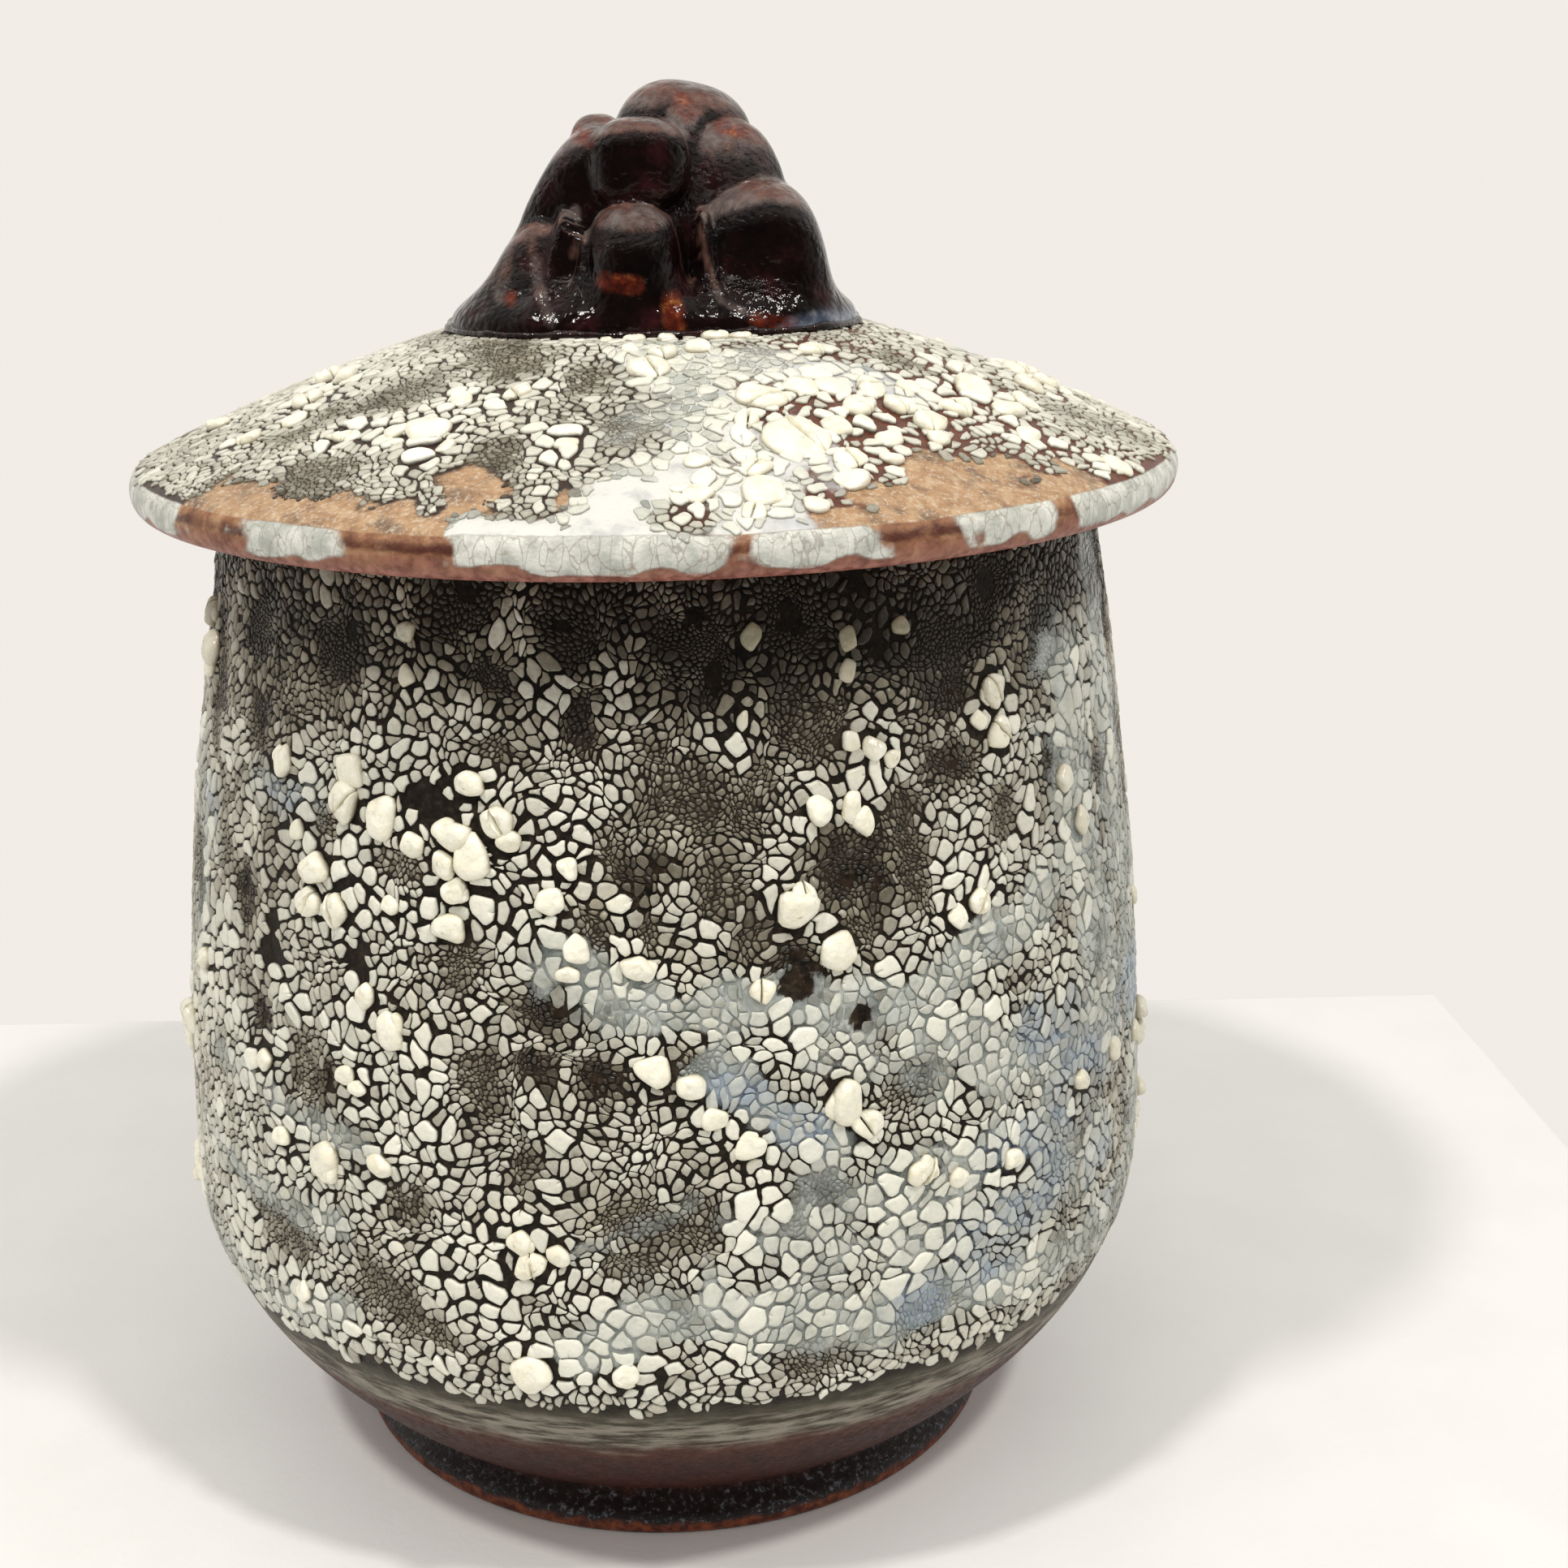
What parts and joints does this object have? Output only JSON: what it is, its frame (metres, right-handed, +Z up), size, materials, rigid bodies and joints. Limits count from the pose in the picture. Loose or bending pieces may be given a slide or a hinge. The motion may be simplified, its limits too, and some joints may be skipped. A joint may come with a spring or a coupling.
{
  "type": "lidded jar",
  "caption": "Round lidded stoneware jar with crawled white glaze over a dark undercoat, a flared foot ring and a domed overhanging lid with a lobed dark knob.",
  "frame": {"origin": "centre of the foot ring's base, on the surface that the jar stands on", "axes": "+Z up along the jar's axis, -Y towards the front, where the knob shows its stacked middle lobes, +X to the right seen from the front, towards which the rim climbs a little"},
  "size_m": [0.1599, 0.16, 0.2152],
  "materials": {
    "crawl_glaze": "gloss, crawled into raised beads over a dark matt undercoat",
    "foot_clay": "satin, iron-red clay with a dark speckled wash",
    "lid_underside_clay": "matt bare clay",
    "knob_glaze": "high gloss, breaking to amber on the ridges"
  },
  "bodies": {
    "jar": {"jar_body": "crawl_glaze", "foot_ring": "foot_clay"},
    "lid": {"lid": "crawl_glaze", "lid_flange": "lid_underside_clay", "lid_knob": "knob_glaze"}
  },
  "joints": [
    {"name": "lid_lift", "type": "slide", "parent": "jar", "child": "lid", "axis": [0, 0, 1], "range_m": [0, 0.08]}
  ]
}
